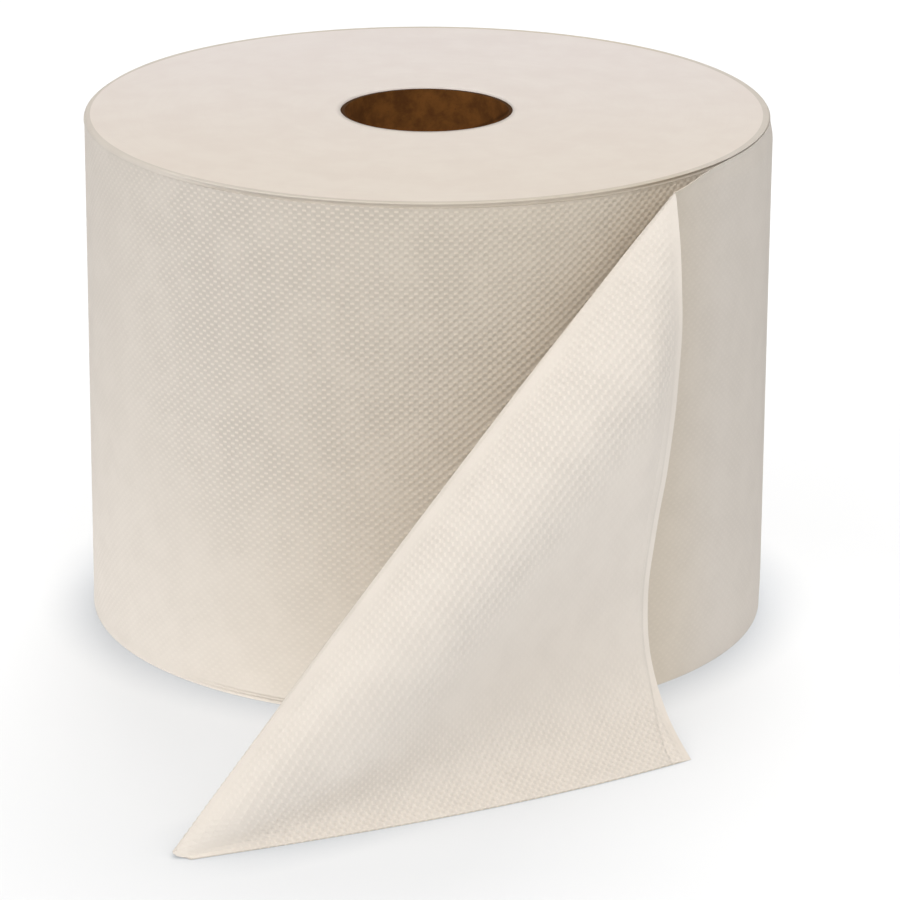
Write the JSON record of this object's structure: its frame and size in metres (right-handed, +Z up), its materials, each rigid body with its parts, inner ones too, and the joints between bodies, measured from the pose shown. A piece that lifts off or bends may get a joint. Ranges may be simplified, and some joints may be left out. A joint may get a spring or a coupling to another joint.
{
  "type": "paper towel roll",
  "caption": "Large roll of embossed paper towel on a cardboard core, standing on its end, with its loose end folded over on the diagonal and lying forward on the floor.",
  "frame": {"origin": "the roll's axis at its lower end face, where it stands on the floor", "axes": "+Z up along the axis of the core, -Y towards the side to which the loose end comes forward"},
  "size_m": [0.2798, 0.4175, 0.21],
  "materials": {
    "towel_paper": "matte, embossed with staggered dots",
    "cardboard": "matte, spiral wound brown board"
  },
  "bodies": {
    "root": {"core_tube": "cardboard", "towel_web": "towel_paper"}
  },
  "joints": []
}
